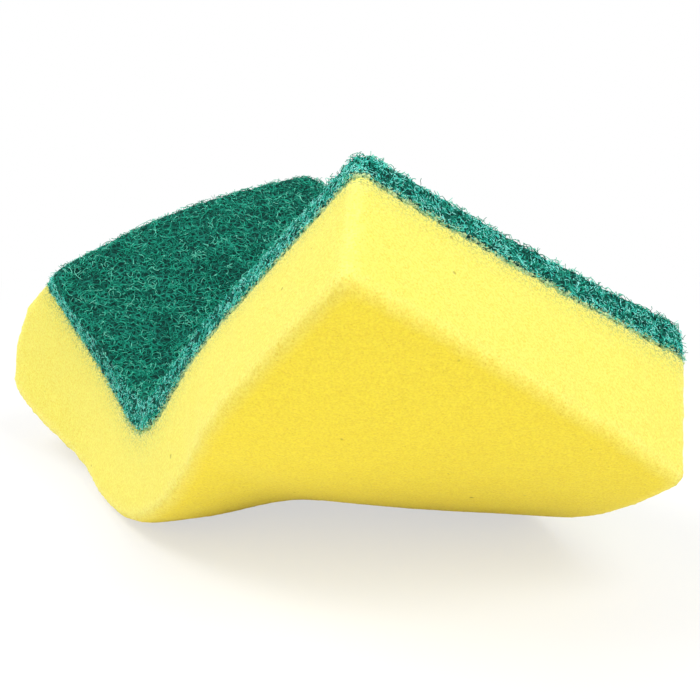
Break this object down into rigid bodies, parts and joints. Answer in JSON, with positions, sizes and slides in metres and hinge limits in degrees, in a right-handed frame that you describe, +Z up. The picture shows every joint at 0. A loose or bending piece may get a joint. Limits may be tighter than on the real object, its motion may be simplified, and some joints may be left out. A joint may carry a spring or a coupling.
{
  "type": "cleaning sponge, folded",
  "caption": "Cleaning sponge folded over along a skewed line: a yellow foam block with a green fibre scouring pad glued to the large face on the inside of the fold.",
  "frame": {"origin": "middle of the footprint's bounding box, at floor level", "axes": "x to the right and y away from the viewer, as the picture shows the fold; z up. It is set down on the underside of the bend with both wings standing up."},
  "size_m": [0.1182, 0.1222, 0.0656],
  "materials": {
    "foam": "open-cell polyurethane foam, soft and matt, fine pores",
    "pad": "non-woven mat of curled fibres, rough and matt"
  },
  "bodies": {
    "root": {"foam_block": "foam", "scouring_pad": "pad"}
  },
  "joints": []
}
